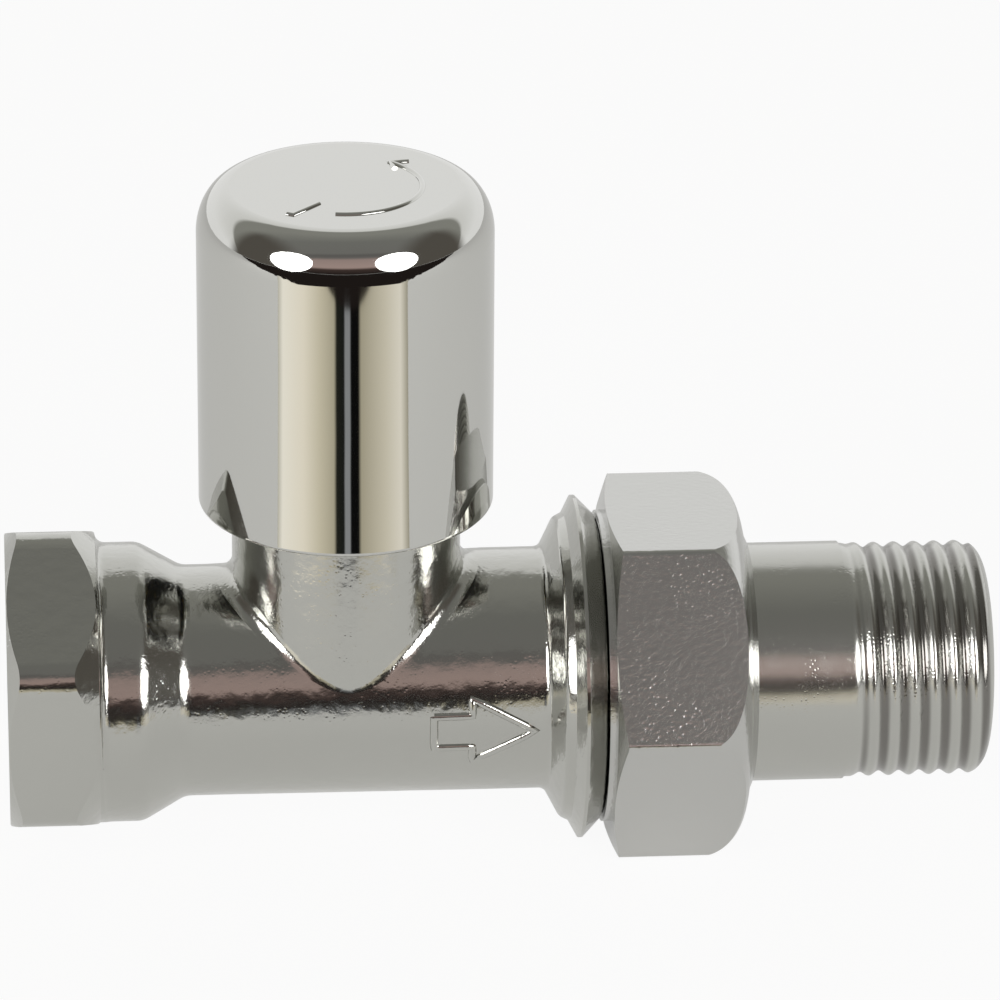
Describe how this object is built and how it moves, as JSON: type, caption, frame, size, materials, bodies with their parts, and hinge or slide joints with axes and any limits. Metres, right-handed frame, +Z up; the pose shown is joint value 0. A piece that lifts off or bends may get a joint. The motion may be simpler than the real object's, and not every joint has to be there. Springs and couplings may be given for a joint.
{
  "type": "straight radiator valve",
  "caption": "Straight manual radiator valve in plated brass, with a female inlet, a chromed round handwheel on a rising spindle, and a union nut and threaded tailpiece at the outlet.",
  "frame": {"origin": "centre of the inlet mouth, on the pipe axis", "axes": "+X along the pipe from the inlet to the threaded outlet, +Z up along the spindle, +Y completes the right-handed frame"},
  "size_m": [0.0874, 0.0344, 0.0619],
  "materials": {
    "plated_forging": "polished",
    "plated_nut": "polished",
    "plated_turning": "polished",
    "bare_brass": "satin",
    "gasket_rubber": "matte",
    "packing": "satin",
    "spring_steel": "satin",
    "chromed_plastic": "polished",
    "moulded_plastic": "satin"
  },
  "bodies": {
    "valve": {"valve_body": "plated_forging", "bonnet": "bare_brass", "bonnet_o_ring": "gasket_rubber", "gland_washer": "bare_brass", "gland_o_ring": "gasket_rubber", "gland_packing": "packing", "gland_nut": "bare_brass"},
    "disc": {"disc_holder": "bare_brass", "disc_clip": "spring_steel", "seat_washer": "gasket_rubber", "washer_plate": "bare_brass", "washer_screw": "bare_brass"},
    "handwheel": {"spindle": "bare_brass", "handwheel_shell": "chromed_plastic", "handwheel_insert": "moulded_plastic", "handwheel_washer": "spring_steel", "handwheel_screw": "spring_steel"},
    "tail": {"tailpiece": "plated_turning", "union_gasket": "gasket_rubber"},
    "nut": {"union_nut": "plated_nut"}
  },
  "joints": [
    {"name": "disc_lift", "type": "slide", "parent": "valve", "child": "disc", "axis": [0, 0, 1], "range_m": [0, 0.00375]},
    {"name": "handwheel_turn", "type": "hinge", "parent": "disc", "child": "handwheel", "pos_m": [0.0302, 0, 0.03], "axis": [0, 0, 1], "range_deg": [0, 900]},
    {"name": "tail_travel", "type": "slide", "parent": "valve", "child": "tail", "axis": [1, 0, 0], "range_m": [0, 0.00726]},
    {"name": "union_nut_turn", "type": "hinge", "parent": "tail", "child": "nut", "pos_m": [0.06, 0, 0], "axis": [1, 0, 0], "range_deg": [0, 1440]}
  ],
  "couplings": [
    {"joint": "handwheel_turn", "follows": "disc_lift", "rad_per_m": 4188.8},
    {"joint": "union_nut_turn", "follows": "tail_travel", "rad_per_m": 3463.2}
  ]
}
